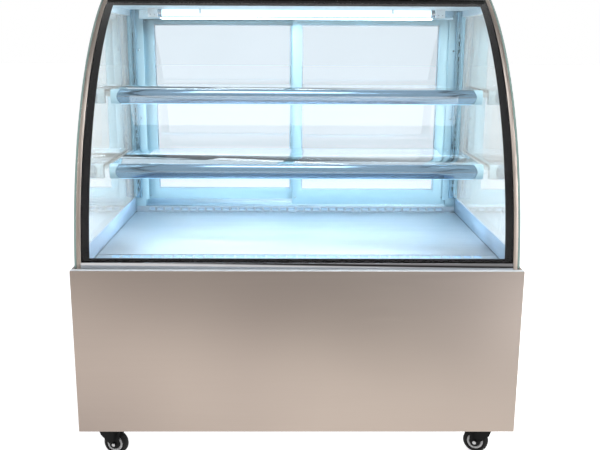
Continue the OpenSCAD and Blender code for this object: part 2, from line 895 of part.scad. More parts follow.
// A foot pedal pinned between the legs above the tyre, with a shoe under it
module caster_brake(i) {
    color("firebrick") at_caster(i) translate([brake_x, 0, brake_z]) {
        rod_y(brake_pin_r, -leg_y - leg_t, leg_y + leg_t);
        block([0, -11, -2], [28, 11, 2]);
        block([6, -9, -5.4], [14, 9, -1.9]);
        translate([27, 0, 0]) rotate([0, 16, 0]) block([0, -14, -2], [20, 14, 1.8]);
    }
}

nut_r = 5.2;

// A hexagon-headed bolt up through the plate and the floor pan, with its nut
module caster_bolt() {
    translate([0, 0, caster_h - plate_t - 3.4]) cylinder(r = nut_r, h = 3.38, $fn = 6);
    translate([0, 0, caster_h - plate_t - 1]) cylinder(r = bolt_r, h = plate_t + 10);
    difference() {
        translate([0, 0, caster_h + 2.02]) cylinder(r = nut_r, h = 5, $fn = 6);
        translate([0, 0, caster_h]) cylinder(r = bolt_r + run_gap, h = 10);
    }
}

// The rear panel's screws stand on its face
module screws() {
    color("silver") {
        at_caster_bolts() caster_bolt();
        for (x = [-580, 0, 580], z = [caster_h + 20, base_top - 22])
            translate([x, 0, z]) rod_y(4.5, back + eps, back + 2);
    }
}

// ---------- assembly ----------

floor_pan();
base_frame();
front_panel();
side_panels();
rear_vent_panel();
control_panel();
thermostat();
button(button_x[0]);  // set_button
button(button_x[1]);  // up_button
button(button_x[2]);  // down_button
switch_housings();
rocker(switch_x[0], "limegreen");  // light_switch
rocker(switch_x[1], "crimson");  // power_switch
power_inlet();
compressor();
condenser_coil();
condenser_shroud();
condenser_fan();
fan_motors();
drip_tray();
refrigerant_pipes();
deck_tub();
evaporator_coil();
cooling_fan(cool_fan_x[0]);  // left_cooling_fan
cooling_fan(cool_fan_x[1]);  // right_cooling_fan
deck_plate();
air_grilles();
side_ledges();
front_glass();
side_glass();
glass_spacers();
edge_trims();
glass_channels();
roof();
ceiling_liner();
led_tube();
led_holders();
rear_jambs();
door_tracks();
shelf_pilasters();
shelf_brackets();
shelf_glasses();
shelf_light_rails();
shelf_light_lenses();
door_frame(-1, outer_door_y);  // left_door_frame
door_glass(-1, outer_door_y);  // left_door_glass
door_frame(1, inner_door_y);  // right_door_frame
door_glass(1, inner_door_y);  // right_door_glass
caster_plates();
caster_fork(0);  // front_left_fork
caster_wheel(0);  // front_left_wheel
caster_fork(1);  // front_right_fork
caster_wheel(1);  // front_right_wheel
caster_fork(2);  // rear_left_fork
caster_wheel(2);  // rear_left_wheel
caster_fork(3);  // rear_right_fork
caster_wheel(3);  // rear_right_wheel
caster_brake(2);  // rear_left_brake
caster_brake(3);  // rear_right_brake
screws();
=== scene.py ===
"""Looks of the glass display showcase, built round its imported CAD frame."""
import json
import math

import bmesh
import bpy
from mathutils import Matrix, Vector


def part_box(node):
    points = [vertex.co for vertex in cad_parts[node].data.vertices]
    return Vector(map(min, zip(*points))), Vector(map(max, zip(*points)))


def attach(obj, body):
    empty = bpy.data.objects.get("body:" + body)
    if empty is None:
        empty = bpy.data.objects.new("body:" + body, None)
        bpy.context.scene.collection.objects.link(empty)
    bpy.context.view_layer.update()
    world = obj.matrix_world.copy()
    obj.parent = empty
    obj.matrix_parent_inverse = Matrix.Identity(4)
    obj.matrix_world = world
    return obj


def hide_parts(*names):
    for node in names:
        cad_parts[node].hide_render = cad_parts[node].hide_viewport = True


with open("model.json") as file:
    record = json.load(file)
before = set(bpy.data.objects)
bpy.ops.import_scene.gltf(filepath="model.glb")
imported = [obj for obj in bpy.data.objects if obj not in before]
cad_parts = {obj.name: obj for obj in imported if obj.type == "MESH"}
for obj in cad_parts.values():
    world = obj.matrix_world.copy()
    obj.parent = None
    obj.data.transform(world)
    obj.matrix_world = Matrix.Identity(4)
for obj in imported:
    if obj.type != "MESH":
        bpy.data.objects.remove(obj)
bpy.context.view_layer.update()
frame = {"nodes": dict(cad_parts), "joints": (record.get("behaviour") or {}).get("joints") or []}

NODES = frame["nodes"]
JOINTS = {j["name"]: j for j in frame["joints"]}
CABINET = "cabinet"
MM = 0.001


# ---------- places taken from the frame ----------

def low(node):
    """The lowest corner of a CAD node's box."""
    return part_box(node)[0]


def high(node):
    """The highest corner of a CAD node's box."""
    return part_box(node)[1]


FRONT = low("front_panel").y
BACK = high("rear_vent_panel").y
BASE_TOP = high("front_panel").z

# The curved glass is part of a circle whose centre lies behind the cabinet and a little below the deck
GLASS_R = 896 * MM
GLASS_T = 8 * MM
ARC_DROP = 79 * MM
ARC_Y = FRONT + 21 * MM + math.sqrt(GLASS_R ** 2 - ARC_DROP ** 2)
ARC_Z = BASE_TOP - ARC_DROP

# The two shelves, with the light rail along the front edge of each
RAIL_H = 41 * MM
RAIL_D = 24 * MM
LENS_D = 9 * MM
SHELF_PITCH = 218 * MM
UPPER_SET_BACK = 62 * MM
SHELVES = {
    "upper": {"front": low("shelf_light_lenses").y + UPPER_SET_BACK, "top": high("shelf_glasses").z},
    "lower": {"front": low("shelf_light_lenses").y, "top": high("shelf_glasses").z - SHELF_PITCH},
}

# The rows of air slots in the deck's front and rear grilles
SLOTS = 36
SLOT_PITCH = 29 * MM
SLOT_ROW = SLOTS * SLOT_PITCH / 2
SLOT_FRONT = FRONT + 135 * MM

CASTERS = ("front_left", "front_right", "rear_left", "rear_right")


# ---------- camera, lights and stage ----------

def add_camera():
    """A camera in front of the showcase, looking a little down on it."""
    data = bpy.data.cameras.new("camera")
    data.lens = 48.0
    data.sensor_width = 36
    data.shift_x = 0.006
    cam = bpy.data.objects.new("camera", data)
    bpy.context.scene.collection.objects.link(cam)
    cam.location = (-0.0215, -2.43, 1.14)
    pitch, yaw, roll = 12.92, -0.45, -0.23
    cam.rotation_euler = (math.radians(90 - pitch), math.radians(roll), math.radians(yaw))
    bpy.context.scene.camera = cam


def add_area(name, place, target, size, power, colour=(1, 1, 1)):
    """A soft rectangular lamp at place that shines on target."""
    data = bpy.data.lights.new(name, "AREA")
    data.shape = "RECTANGLE"
    data.size, data.size_y = size
    data.energy = power
    data.color = colour
    lamp = bpy.data.objects.new(name, data)
    bpy.context.scene.collection.objects.link(lamp)
    lamp.location = place
    lamp.rotation_euler = (Vector(target) - Vector(place)).to_track_quat("-Z", "Y").to_euler()
    lamp.visible_camera = False


# What the steel and the glass reflect from in front, as (height, brightness), with 0 straight down and
# 1 straight up. The dark stretch below eye level is what keeps the black print black.
BACKDROP = ((0.30, 1.25), (0.37, 1.15), (0.405, 0.5), (0.425, 0.04), (0.48, 0.04), (0.53, 0.42), (0.60, 0.42))


def add_world():
    """A studio that mirrors see as bands of light in front and a soft glow behind."""
    world = bpy.data.worlds.new("studio")
    bpy.context.scene.world = world
    world.use_nodes = True
    tree = world.node_tree
    sky = tree.nodes["Background"]
    split = tree.nodes.new("ShaderNodeSeparateXYZ")
    tree.links.new(tree.nodes.new("ShaderNodeTexCoord").outputs["Generated"], split.inputs["Vector"])
    ahead = tree.nodes.new("ShaderNodeValToRGB")
    stops = ahead.color_ramp.elements
    stops[0].position = 0.20
    stops[0].color = (1.15, 1.11, 1.08, 1)
    stops[1].position = 0.70
    stops[1].color = (0.05, 0.048, 0.047, 1)
    for at, level in BACKDROP:
        stop = stops.new(at)
        stop.color = (level, level * 0.97, level * 0.94, 1)
    tree.links.new(span(tree, split.outputs["Z"], 0.0, 1.0, at=(-1, 1)), ahead.inputs["Fac"])
    rearward = span(tree, split.outputs["Y"], 0.0, 1.0, at=(-0.05, 0.25))
    mix = tree.nodes.new("ShaderNodeMix")
    mix.data_type = "RGBA"
    tree.links.new(rearward, mix.inputs["Factor"])
    tree.links.new(ahead.outputs["Color"], mix.inputs["A"])
    behind = ramp(tree, split.outputs["Z"], (1, 1, 1), (0.20, 0.20, 0.20), at=(0.45, 0.65))
    tree.links.new(behind, mix.inputs["B"])
    # Seen directly or through glass the backdrop is plain white
    path = tree.nodes.new("ShaderNodeLightPath")
    seen = tree.nodes.new("ShaderNodeMath")
    seen.operation = "ADD"
    tree.links.new(path.outputs["Is Camera Ray"], seen.inputs[0])
    tree.links.new(path.outputs["Is Transmission Ray"], seen.inputs[1])
    plain = tree.nodes.new("ShaderNodeMix")
    plain.data_type = "RGBA"
    plain.inputs["B"].default_value = (1, 1, 1, 1)
    tree.links.new(seen.outputs["Value"], plain.inputs["Factor"])
    tree.links.new(mix.outputs["Result"], plain.inputs["A"])
    tree.links.new(plain.outputs["Result"], sky.inputs["Color"])
    sky.inputs["Strength"].default_value = 1.0
    bpy.context.scene.view_settings.view_transform = "Standard"


def add_floor():
    """A wide floor that mirrors don't see, so that it never greys the glass."""
    reach = 40
    corners = [(-reach, -reach, 0), (reach, -reach, 0), (reach, reach, 0), (-reach, reach, 0)]
    mesh = bpy.data.meshes.new("floor")
    mesh.from_pydata(corners, [], [(0, 1, 2, 3)])
    floor = bpy.data.objects.new("floor", mesh)
    bpy.context.scene.collection.objects.link(floor)
    floor.data.materials.append(floor_paint())
    floor.visible_glossy = False


def add_lights():
    """The glow of the tube and of the shelf rails, and the studio's four lamps."""
    cool = (0.70, 0.88, 1.0)
    top = low("led_tube").z - 6 * MM
    tube_y = (low("led_tube").y + high("led_tube").y) / 2
    add_area("tube_light", (0, tube_y, top), (0, tube_y - 0.12, 0), (0.88, 0.03), 5.0, cool)
    for name, shelf in SHELVES.items():
        z = shelf["top"] - RAIL_H - 4 * MM
        y = shelf["front"] + 40 * MM
        add_area(f"{name}_shelf_light", (0, y, z), (0, y + 0.12, 0), (1.04, 0.02), 2.6, cool)
    add_area("key", (-4.6, -3.6, 3.6), (0, 0, 0.6), (2.0, 2.6), 40, (1.0, 0.97, 0.94))
    add_area("fill", (4.8, -3.0, 2.6), (0, 0, 0.6), (1.8, 2.6), 180, (0.97, 0.97, 1.0))
    add_area("overhead", (0, -1.1, 2.5), (0, -0.4, 0.55), (1.6, 0.5), 15, (0.94, 0.97, 1.0))
    add_area("rim", (0.5, 3.6, 3.4), (0, 0, 0.8), (2.5, 1.2), 60)


# ---------- material toolkit ----------

def start(name):
    """A new material with its node tree and its surface shader."""
    mat = bpy.data.materials.new(name)
    mat.use_nodes = True
    return mat, mat.node_tree, mat.node_tree.nodes["Principled BSDF"]


def noise(tree, scale, stretch=(1, 1, 1), detail=4.0):
    """Noise in the object's own space, stretched by the factors in stretch."""
    coord = tree.nodes.new("ShaderNodeTexCoord")
    mapping = tree.nodes.new("ShaderNodeMapping")
    mapping.inputs["Scale"].default_value = stretch
    tex = tree.nodes.new("ShaderNodeTexNoise")
    tex.inputs["Scale"].default_value = scale
    tex.inputs["Detail"].default_value = detail
    tree.links.new(coord.outputs["Object"], mapping.inputs["Vector"])
    tree.links.new(mapping.outputs["Vector"], tex.inputs["Vector"])
    return tex.outputs["Fac"]


def ramp(tree, fac, first, last, at=(0.3, 0.7)):
    """Colours from first to last as fac goes between the two stops."""
    node = tree.nodes.new("ShaderNodeValToRGB")
    for element, place, colour in zip(node.color_ramp.elements, at, (first, last)):
        element.position = place
        element.color = (*colour, 1)
    tree.links.new(fac, node.inputs["Fac"])
    return node.outputs["Color"]


def span(tree, fac, first, last, at=(0.3, 0.7)):
    """A value from first to last as fac goes between the two stops."""
    node = tree.nodes.new("ShaderNodeMapRange")
    for socket, value in zip(("From Min", "From Max", "To Min", "To Max"), (*at, first, last)):
        node.inputs[socket].default_value = value
    tree.links.new(fac, node.inputs["Value"])
    return node.outputs["Result"]


def bump(tree, bsdf, height, strength, distance):
    """Lets height show as a relief on the surface."""
    node = tree.nodes.new("ShaderNodeBump")
    node.inputs["Strength"].default_value = strength
    node.inputs["Distance"].default_value = distance
    tree.links.new(height, node.inputs["Height"])
    tree.links.new(node.outputs["Normal"], bsdf.inputs["Normal"])


def shade(colour, factor):
    """A colour made darker or paler by a factor."""
    return tuple(min(1.0, c * factor) for c in colour)


def brushed(name, colour, rough, grain=(3, 200, 900), vary=0.05, metallic=1.0, relief=0.04):
    """Rolled metal with a grain along the axis where grain is smallest."""
    mat, tree, bsdf = start(name)
    streak_share = 0.45
    streaks = noise(tree, 1.0, grain, 6)
    blotches = noise(tree, 2.6, (1, 1, 1), 3)
    mix = tree.nodes.new("ShaderNodeMath")
    mix.operation = "MULTIPLY_ADD"
    mix.inputs[1].default_value = streak_share
    tree.links.new(streaks, mix.inputs[0])
    rest = tree.nodes.new("ShaderNodeMath")
    rest.operation = "MULTIPLY"
    rest.inputs[1].default_value = 1 - streak_share
    tree.links.new(blotches, rest.inputs[0])
    tree.links.new(rest.outputs["Value"], mix.inputs[2])
    fac = mix.outputs["Value"]
    tone = ramp(tree, fac, shade(colour, 1 - vary), shade(colour, 1 + vary))
    tree.links.new(tone, bsdf.inputs["Base Color"])
    tree.links.new(span(tree, streaks, rough * 0.8, rough * 1.25), bsdf.inputs["Roughness"])
    bsdf.inputs["Metallic"].default_value = metallic
    bump(tree, bsdf, streaks, relief, 0.1 * MM)
    return mat


def coated(name, colour, rough, vary=0.06, grain=900, strength=0.08, coat=0.0, shine=0.5):
    """Paint, powder coat, rubber or moulded plastic: a fine texture and faint patches."""
    mat, tree, bsdf = start(name)
    fine = noise(tree, grain, (1, 1, 1), 2)
    patches = noise(tree, 5, (1, 1, 1), 4)
    tone = ramp(tree, patches, shade(colour, 1 - vary), shade(colour, 1 + vary))
    tree.links.new(tone, bsdf.inputs["Base Color"])
    tree.links.new(span(tree, patches, rough * 0.85, rough * 1.2), bsdf.inputs["Roughness"])
    bsdf.inputs["Specular IOR Level"].default_value = shine
    bsdf.inputs["Coat Weight"].default_value = coat
    bsdf.inputs["Coat Roughness"].default_value = 0.04
    bump(tree, bsdf, fine, strength, 0.1 * MM)
    return mat


def clear(name, tint, ior=1.5):
    """Glass that lets the lamps light what is behind it, with a faint bloom of handling."""
    mat, tree, bsdf = start(name)
    film = noise(tree, 3, (1, 1, 1), 5)
    tone = ramp(tree, film, shade(tint, 0.975), tint)
    tree.links.new(tone, bsdf.inputs["Base Color"])
    bsdf.inputs["Roughness"].default_value = 0.0
    bsdf.inputs["IOR"].default_value = ior
    bsdf.inputs["Transmission Weight"].default_value = 1.0
    path = tree.nodes.new("ShaderNodeLightPath")
    through = tree.nodes.new("ShaderNodeBsdfTransparent")
    through.inputs["Color"].default_value = (*shade(tint, 0.98), 1)
    mix = tree.nodes.new("ShaderNodeMixShader")
    tree.links.new(path.outputs["Is Shadow Ray"], mix.inputs["Fac"])
    tree.links.new(bsdf.outputs["BSDF"], mix.inputs[1])
    tree.links.new(through.outputs["BSDF"], mix.inputs[2])
    tree.links.new(mix.outputs["Shader"], tree.nodes["Material Output"].inputs["Surface"])
    return mat


def satin_panel(name, dark, pale):
    """Satin sheet steel with a fine grain across it, and broad soft clouds of painted shade and painted
    reflection.
    """
    mat, tree, bsdf = start(name)
    # Painted shade and painted reflection: broad darker and paler clouds stand in for the surroundings
    # mirrored in the steel
    painted_shade_clouds = noise(tree, 1.25, (1, 1, 1), 2)
    grain = noise(tree, 1.0, (4, 260, 1100), 4)
    tone = ramp(tree, painted_shade_clouds, dark, pale, at=(0.35, 0.65))
    fleck = ramp(tree, grain, (0.97, 0.97, 0.97), (1.0, 1.0, 1.0))
    mix = tree.nodes.new("ShaderNodeMix")
    mix.data_type = "RGBA"
    mix.blend_type = "MULTIPLY"
    mix.inputs["Factor"].default_value = 1.0
    tree.links.new(tone, mix.inputs["A"])
    tree.links.new(fleck, mix.inputs["B"])
    tree.links.new(mix.outputs["Result"], bsdf.inputs["Base Color"])
    tree.links.new(span(tree, grain, 0.52, 0.62), bsdf.inputs["Roughness"])
    bsdf.inputs["Metallic"].default_value = 1.0
    bump(tree, bsdf, grain, 0.03, 0.1 * MM)
    return mat


def glowing(name, colour, strength):
    """Frosted plastic that is lit from within."""
    mat, tree, bsdf = start(name)
    frost = noise(tree, 40, (0.2, 1, 1), 3)
    tree.links.new(ramp(tree, frost, shade(colour, 0.97), colour), bsdf.inputs["Base Color"])
    bsdf.inputs["Roughness"].default_value = 0.35
    bsdf.inputs["Emission Color"].default_value = (*colour, 1)
    bsdf.inputs["Emission Strength"].default_value = strength
    return mat


def floor_paint():
    """White studio floor with a faint glow of its own, so that it fades into the backdrop."""
    mat, tree, bsdf = start("floor_paint")
    mottle = noise(tree, 3, (1, 1, 1), 3)
    tree.links.new(ramp(tree, mottle, (0.89, 0.89, 0.89), (0.91, 0.91, 0.91)), bsdf.inputs["Base Color"])
    bsdf.inputs["Roughness"].default_value = 0.7
    bsdf.inputs["Emission Color"].default_value = (1.0, 1.0, 1.0, 1)
    bsdf.inputs["Emission Strength"].default_value = 0.76
    return mat


def make_materials():
    """Every finished material, by the short name that the rest of the script uses."""
    return {
        # The cladding's broad clouds are painted shade and painted reflection
        "cladding": satin_panel("cladding_steel", (0.55, 0.475, 0.43), (0.635, 0.555, 0.495)),
        "side_cladding": satin_panel("side_cladding_steel", (0.40, 0.35, 0.31), (0.50, 0.43, 0.37)),
        # A pale coat for the strip on the front panel's top edge: a painted highlight of the top face
        "painted_top_highlight": coated("painted_highlight_coat", (0.86, 0.91, 0.94), 0.4, vary=0.02),
        "ledge": coated("ledge_enamel", (0.27, 0.34, 0.43), 0.34, vary=0.02),
        "pale_seal": coated("pale_seal", (0.38, 0.50, 0.57), 0.5, vary=0.05),
        "honeycomb": coated("honeycomb_polycarbonate", (0.60, 0.71, 0.82), 0.4, vary=0.03),
        "slot": coated("slot_polycarbonate", (0.32, 0.50, 0.70), 0.4, vary=0.03),
        "trim": brushed("trim_steel", (0.68, 0.595, 0.53), 0.5, grain=(500, 12, 12)),
        "polished": brushed("polished_steel", (0.52, 0.53, 0.56), 0.06, grain=(2, 40, 40), vary=0.04),
        "roof": brushed("roof_steel", (0.60, 0.59, 0.58), 0.28),
        "deck": brushed("deck_steel", (0.325, 0.352, 0.388), 0.42, grain=(2, 300, 300), vary=0.03,
                        metallic=0.6),
        "fittings": brushed("fitting_steel", (0.66, 0.78, 0.84), 0.28, grain=(500, 500, 8), vary=0.04),
        "pilaster": brushed("pilaster_steel", (0.27, 0.43, 0.54), 0.26, grain=(600, 600, 8), vary=0.06),
        "anodised": brushed("anodised_frame", (0.37, 0.51, 0.57), 0.42, grain=(600, 600, 10), vary=0.04,
                            metallic=0.5),
        "track": brushed("anodised_track", (0.49, 0.63, 0.72), 0.30, grain=(6, 600, 600), vary=0.04),
        "rail": brushed("rail_aluminium", (0.21, 0.32, 0.43), 0.17, grain=(2, 200, 200), vary=0.03),
        "galvanised": brushed("galvanised_sheet", (0.50, 0.52, 0.53), 0.42, grain=(14, 14, 14), vary=0.22),
        "fins": brushed("fin_aluminium", (0.66, 0.68, 0.70), 0.35, grain=(90, 9, 9)),
        "copper": brushed("copper_pipe", (0.72, 0.36, 0.21), 0.25, grain=(20, 20, 20), vary=0.18),
        "zinc": brushed("zinc_fastener", (0.60, 0.61, 0.62), 0.24, grain=(200, 200, 200)),
        "caster_plate": brushed("caster_zinc", (0.40, 0.40, 0.41), 0.35, grain=(50, 50, 50)),
        "chrome": brushed("axle_bolt_chrome", (0.50, 0.51, 0.53), 0.22, grain=(300, 300, 300)),
        "liner": coated("liner_enamel", (0.80, 0.90, 0.95), 0.32, vary=0.03),
        "foam": coated("tub_plastic", (0.82, 0.86, 0.87), 0.45),
        "white": coated("white_moulding", (0.80, 0.84, 0.86), 0.36),
        "fan": coated("fan_moulding", (0.70, 0.72, 0.72), 0.40),
        "black": coated("black_moulding", (0.012, 0.012, 0.013), 0.42, vary=0.25, strength=0.2),
        "frit": coated("black_glass_print", (0.004, 0.0035, 0.004), 0.6, vary=0.3, grain=200,
                       strength=0.05, shine=0.1),
        "powder": coated("black_powder_coat", (0.02, 0.02, 0.021), 0.5, vary=0.2, grain=1400, strength=0.35),
        "fork": coated("fork_black_coat", (0.004, 0.004, 0.0045), 0.35, vary=0.2, grain=700,
                       strength=0.2, shine=0.15),
        "tread": coated("tread_rubber", (0.008, 0.008, 0.008), 0.5, vary=0.3, grain=500,
                        strength=0.35, shine=0.2),
        "core": coated("wheel_core_nylon", (0.36, 0.36, 0.365), 0.22, vary=0.08),
        "pedal": coated("pedal_nylon", (0.50, 0.03, 0.02), 0.38, vary=0.12),
        "pot": coated("compressor_enamel", (0.012, 0.012, 0.013), 0.22, vary=0.2, grain=300,
                      strength=0.2, coat=0.4),
        # The dark colour of the deck's side strips is painted shade of the gap between deck and ledge
        "gap_shade": coated("painted_gap_shade", (0.10, 0.12, 0.13), 0.4, vary=0.15),
        "grey": coated("grey_moulding", (0.42, 0.44, 0.46), 0.4),
        "green_rocker": coated("green_rocker", (0.02, 0.45, 0.09), 0.18, vary=0.06, coat=0.6),
        "red_rocker": coated("red_rocker", (0.60, 0.02, 0.015), 0.18, vary=0.06, coat=0.6),
        "screen": coated("display_window", (0.012, 0.004, 0.004), 0.05, vary=0.2, coat=1.0),
        "glass_edge": coated("ground_glass_edge", (0.26, 0.36, 0.33), 0.12, vary=0.08,
                             strength=0.02, coat=0.8),
        "digits": glowing("display_digits", (1.0, 0.06, 0.03), 3.0),
        "front_glass": clear("front_glass_clear", (0.985, 0.995, 0.992), 1.25),
        "side_glass": clear("side_glass_clear", (0.97, 0.99, 0.98)),
        "shelf_glass": clear("shelf_glass_clear", (0.86, 0.95, 0.99)),
        "door_glass": clear("door_glass_clear", (0.90, 0.955, 1.0)),
        "cap": coated("end_cap_acrylic", (0.34, 0.50, 0.58), 0.16, vary=0.04, coat=0.5),
        "tube": glowing("light_tube_glow", (0.80, 0.93, 1.0), 0.95),
        "diffuser": glowing("rail_diffuser_glow", (0.45, 0.78, 1.0), 0.55),
    }


# ---------- mesh toolkit ----------

def add_piece(name, mesh, mat, body, bevel=0.0, smooth=True):
    """Makes a piece from a mesh, rounds its edges, and lets it ride on its body."""
    piece = bpy.data.objects.new(name, mesh)
    bpy.context.scene.collection.objects.link(piece)
    piece.data.materials.append(mat)
    if smooth:
        mesh.shade_smooth()
    if bevel:
        add_bevel(piece, bevel)
    elif smooth:
        mesh.set_sharp_from_angle(angle=math.radians(35))
    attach(piece, body)
    return piece


def add_bevel(piece, width):
    """Rounds every edge that is sharper than a bent sheet's facets."""
    mod = piece.modifiers.new("round_edges", "BEVEL")
    mod.width = width
    mod.segments = 2
    mod.limit_method = "ANGLE"
    mod.angle_limit = math.radians(35)
    mod.harden_normals = True
    mod.use_clamp_overlap = True


def mesh_of(name, bm):
    """Turns finished geometry into a mesh with its faces looking outward."""
    bmesh.ops.recalc_face_normals(bm, faces=bm.faces[:])
    mesh = bpy.data.meshes.new(name)
    bm.to_mesh(mesh)
    bm.free()
    return mesh


def add_block(bm, lo, hi):
    """A closed box between two corners."""
    made = bmesh.ops.create_cube(bm, size=1)
    centre, size = (Vector(lo) + Vector(hi)) / 2, Vector(hi) - Vector(lo)
    for v in made["verts"]:
        v.co = centre + Vector(a * b for a, b in zip(v.co, size))


def add_prism(bm, outline, x0, x1):
    """A Y-Z outline extruded along X."""
    ends = [[bm.verts.new((x, y, z)) for y, z in outline] for x in (x0, x1)]
    bm.faces.new(ends[0])
    bm.faces.new(reversed(ends[1]))
    count = len(outline)
    for i in range(count):
        j = (i + 1) % count
        bm.faces.new((ends[0][i], ends[1][i], ends[1][j], ends[0][j]))


def add_lathe(bm, profile, matrix, steps=48):
    """A closed ring of (radius, height) points turned about Z, then placed by matrix."""
    rings = []
    for i in range(steps):
        a = 2 * math.pi * i / steps
        turned = [Vector((r * math.cos(a), r * math.sin(a), h)) for r, h in profile]
        rings.append([bm.verts.new(matrix @ point) for point in turned])
    for i in range(steps):
        one, two = rings[i], rings[(i + 1) % steps]
        for j in range(len(profile)):
            k = (j + 1) % len(profile)
            bm.faces.new((one[j], two[j], two[k], one[k]))


def aim(place, direction):
    """A matrix whose Z runs along direction from place."""
    return Matrix.Translation(Vector(place)) @ Vector(direction).to_track_quat("Z", "Y").to_matrix().to_4x4()


# A solid lathe's middle keeps a hole too fine to see, so that no two of its points coincide
BORE = 0.01 * MM


def add_dome(bm, place, direction, radius, height, steps=24):
    """A low round head, such as a screw's or a rivet's."""
    profile = [(radius * math.cos(t), height * math.sin(t)) for t in (0, 0.5, 0.9, 1.25)]
    add_lathe(bm, [(BORE, 0)] + profile + [(BORE, height)], aim(place, direction), steps)


def arc_at(r, angle):
    """The point of a circle about the glass's centre, as (y, z), at an angle above the level."""
    return ARC_Y - r * math.cos(angle), ARC_Z + r * math.sin(angle)


def arc_angle(r, z):
    """The angle at which a circle of radius r about the glass's centre has height z."""
    return math.asin((z - ARC_Z) / r)


def add_arc_plate(bm, x0, x1, r_in, r_out, z0, z1, steps=48):
    """A closed plate that follows the glass between two heights."""
    a0, a1 = arc_angle(r_out, z0), arc_angle(r_out, z1)
    angles = [a0 + (a1 - a0) * i / steps for i in range(steps + 1)]
    outline = [arc_at(r_out, a) for a in angles] + [arc_at(r_in, a) for a in reversed(angles)]
    rows = [[bm.verts.new((x, y, z)) for y, z in outline] for x in (x0, x1)]
    count = len(outline)
    for i in range(count):
        j = (i + 1) % count
        bm.faces.new((rows[0][i], rows[1][i], rows[1][j], rows[0][j]))
    for row in rows:
        for i in range(steps):
            bm.faces.new((row[i], row[i + 1], row[count - 2 - i], row[count - 1 - i]))


# ---------- glass body ----------

def add_front_pane(m):
    """The curved front glass and the black border printed round its inner face."""
    inner = GLASS_R - GLASS_T
    half = high("front_glass").x
    top = high("front_glass").z
    bm = bmesh.new()
    add_arc_plate(bm, -half, half, inner, GLASS_R, BASE_TOP + 5 * MM, top, 120)
    pane = add_piece("curved_front_pane", mesh_of("curved_front_pane", bm), m["front_glass"], CABINET,
                     bevel=0.8 * MM)
    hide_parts("front_glass")
    print_in, print_out = inner - 0.45 * MM, inner - 0.08 * MM
    window_top = low("ceiling_liner").z + 20 * MM
    window_foot = BASE_TOP + 26.5 * MM
    band = 21.5 * MM
    bm = bmesh.new()
    for s in (-1, 1):
        x0, x1 = sorted((s * (half - band), s * half))
        add_arc_plate(bm, x0, x1, print_in, print_out, window_foot, window_top, 60)
    add_arc_plate(bm, -half, half, print_in, print_out, BASE_TOP + 6 * MM, window_foot, 4)
    add_arc_plate(bm, -half, half, print_in, print_out, window_top, top - 2 * MM, 12)
    add_piece("printed_border", mesh_of("printed_border", bm), m["frit"], CABINET,
              smooth=False)


def add_side_panes(m):
    """The two panes of each side window, whose front edges follow the curved glass."""
    lo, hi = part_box("side_glass")
    outer_pane = (hi.x - 6 * MM, hi.x, GLASS_R)
    inner_pane = (hi.x - 22 * MM, hi.x - 17.1 * MM, GLASS_R - GLASS_T - 0.5 * MM)
    steps = 120
    for side, s in (("left", -1), ("right", 1)):
        bm = bmesh.new()
        for x0, x1, r in (outer_pane, inner_pane):
            a0, a1 = arc_angle(r, lo.z), arc_angle(r, hi.z)
            outline = [arc_at(r, a0 + (a1 - a0) * i / steps) for i in range(steps + 1)]
            outline += [(hi.y, hi.z), (hi.y, lo.z)]
            add_prism(bm, outline, *sorted((s * x0, s * x1)))
        panes_piece = add_piece(f"{side}_side_panes", mesh_of("side_panes", bm), m["side_glass"], CABINET,
                                bevel=0.5 * MM)
        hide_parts("side_glass")


def add_pane_edges(m):
    """The cut edges of the outer side panes, ground and tinted by their own depth."""
    outer = high("side_glass").x
    bm = bmesh.new()
    for s in (-1, 1):
        x0, x1 = sorted((s * (outer - 5.6 * MM), s * (outer - 0.4 * MM)))
        add_arc_plate(bm, x0, x1, GLASS_R + 0.06 * MM, GLASS_R + 0.36 * MM, BASE_TOP + 3 * MM,
                      high("side_glass").z - 3 * MM, 90)
    add_piece("side_pane_edges", mesh_of("side_pane_edges", bm), m["glass_edge"], CABINET,
              smooth=False)


# ---------- shelves ----------

def rail_outline(y0, top, grow):
    """The front of a shelf rail and its lens, from the top jaw round to the underside, as (y, z)."""
    bulge = (RAIL_H * RAIL_H / 4 + LENS_D * LENS_D) / (2 * LENS_D)
    centre = (y0 + bulge, top - RAIL_H / 2 + 0.5 * MM)
    half = RAIL_H / 2 - 0.2 * MM
    points = []
    steps = 16
    for i in range(steps + 1):
        dz = half - 2 * half * i / steps
        r = bulge + grow
        points.append((centre[0] - math.sqrt(r * r - dz * dz), centre[1] + dz * (1 + grow / half)))
    back = y0 + RAIL_D
    return [(back, points[0][1])] + points + [(back, points[-1][1])]


def add_rail_ends(m, name, shelf):
    """Milky moulded caps over the ends of a rail; their inner edge is a shallow crescent."""
    half = high("shelf_light_rails").x
    cap_reach, crescent = 27 * MM, 9 * MM
    for side, sx in (("left", -1), ("right", 1)):
        bm = bmesh.new()
        outer = rail_outline(shelf["front"], shelf["top"], 1.1 * MM)
        inner = rail_outline(shelf["front"], shelf["top"], 0.25 * MM)
        count = len(outer)
        columns = 6
        grid = {}
        for skin, line in (("out", outer), ("in", inner)):
            for i, (y, z) in enumerate(line):
                sweep = math.sin(math.pi * min(1.0, max(0.0, (i - 1) / (count - 3))))
                reach = cap_reach - crescent * sweep
                for k in range(columns + 1):
                    x = sx * (half - reach * k / columns)
                    grid[skin, i, k] = bm.verts.new((x, y, z))
        for i in range(count - 1):
            for k in range(columns):
                for skin in ("out", "in"):
                    bm.faces.new([grid[skin, i + a, k + b] for a, b in ((0, 0), (1, 0), (1, 1), (0, 1))])
            for k in (0, columns):
                edge = (("out", i, k), ("out", i + 1, k), ("in", i + 1, k), ("in", i, k))
                bm.faces.new([grid[corner] for corner in edge])
        for i in (0, count - 1):
            for k in range(columns):
                edge = (("out", i, k), ("out", i, k + 1), ("in", i, k + 1), ("in", i, k))
                bm.faces.new([grid[corner] for corner in edge])
        add_piece(f"{name}_rail_cap_{side}", mesh_of("cap", bm), m["cap"], CABINET, bevel=0.25 * MM)


